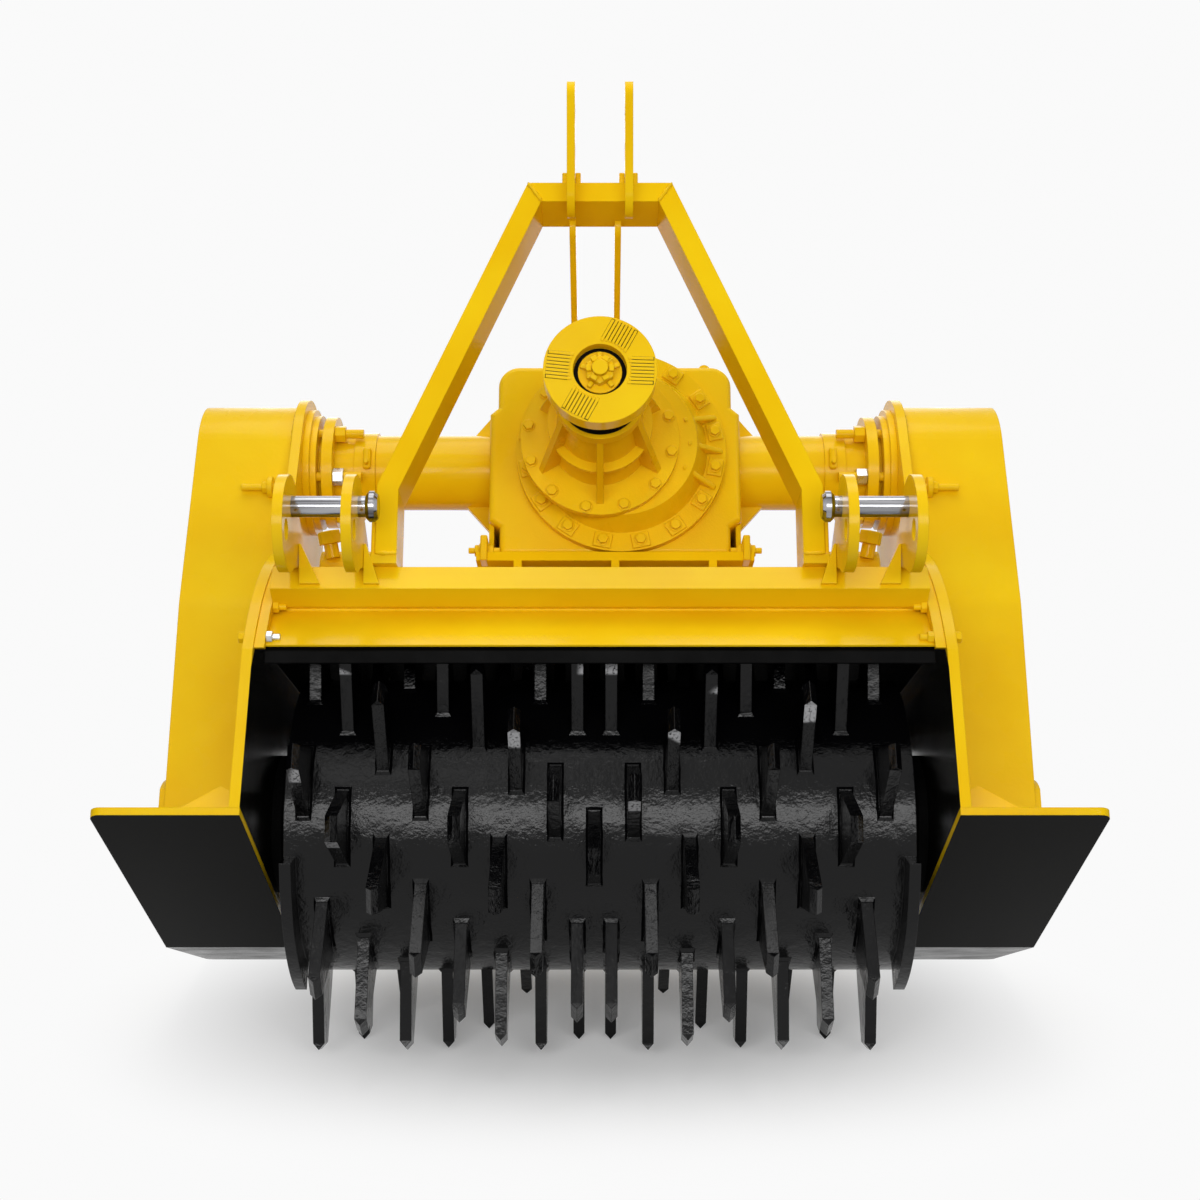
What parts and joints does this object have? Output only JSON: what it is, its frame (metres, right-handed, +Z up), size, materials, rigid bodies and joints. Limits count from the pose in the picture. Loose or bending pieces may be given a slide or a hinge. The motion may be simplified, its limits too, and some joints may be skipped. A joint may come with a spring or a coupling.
{
  "type": "stump crusher",
  "caption": "Tractor-mounted stump crusher: toothed rotor under a steel hood with side drive cases, skids, gearbox, three-point mast and rear door.",
  "frame": {"origin": "on the floor under the middle of the machine's box, in its parked pose", "axes": "+Z up, -Y towards the tractor, +X to the right seen from the tractor"},
  "size_m": [1.696, 1.017, 1.7917],
  "materials": {
    "yellow_paint": "gloss paint",
    "rotor_black": "gloss black paint over weld and plate",
    "satin_black": "satin black paint",
    "machined_steel": "turned",
    "chrome": "polished",
    "zinc": "zinc plated"
  },
  "bodies": {
    "frame": {"door_hinge_pins": "zinc", "drive_case_left": "yellow_paint", "drive_case_right": "yellow_paint", "gearbox_cover": "yellow_paint", "gearbox_cradle": "yellow_paint", "gearbox_housing": "yellow_paint", "hood_beam": "yellow_paint", "hood_flange_left": "yellow_paint", "hood_flange_right": "yellow_paint", "hood_shell": "yellow_paint", "hood_wear_strip": "satin_black", "link_pin_left": "chrome", "link_pin_right": "chrome", "link_plate_inner_left": "yellow_paint", "link_plate_inner_right": "yellow_paint", "link_plate_outer_left": "yellow_paint", "link_plate_outer_right": "yellow_paint", "mast_base_left": "yellow_paint", "mast_base_right": "yellow_paint", "mast_crossbar": "yellow_paint", "mast_leg_left": "yellow_paint", "mast_leg_right": "yellow_paint", "mast_strut_left": "yellow_paint", "mast_strut_right": "yellow_paint", "output_ring_left": "yellow_paint", "output_ring_right": "yellow_paint", "output_tube_left": "yellow_paint", "output_tube_right": "yellow_paint", "pinion_housing": "yellow_paint", "rear_beam": "yellow_paint", "rotor_bearing_left": "satin_black", "rotor_bearing_right": "satin_black", "side_plate_left": "yellow_paint", "side_plate_right": "yellow_paint", "skid_gusset_left": "yellow_paint", "skid_gusset_right": "yellow_paint", "skid_left": "yellow_paint", "skid_right": "yellow_paint", "top_link_plate_left": "yellow_paint", "top_link_plate_right": "yellow_paint"},
    "rotor": {"rotor": "rotor_black", "rotor_stub_left": "machined_steel", "rotor_stub_right": "machined_steel"},
    "input": {"input_flange": "yellow_paint", "input_nut": "yellow_paint"},
    "door": {"rear_door": "yellow_paint"}
  },
  "joints": [
    {"name": "rotor_spin", "type": "hinge", "parent": "frame", "child": "rotor", "pos_m": [0, -0.09398, 0.414], "axis": [1, 0, 0], "continuous": true},
    {"name": "input_spin", "type": "hinge", "parent": "frame", "child": "input", "pos_m": [0, -0.17091, 1.25081], "axis": [0, 0.9291, -0.3699], "continuous": true},
    {"name": "rear_door_hinge", "type": "hinge", "parent": "frame", "child": "door", "pos_m": [0, 0.44599, 0.42936], "axis": [1, 0, 0], "range_deg": [0, 60]}
  ],
  "couplings": [
    {"joint": "input_spin", "follows": "rotor_spin", "ratio": 2.2}
  ]
}
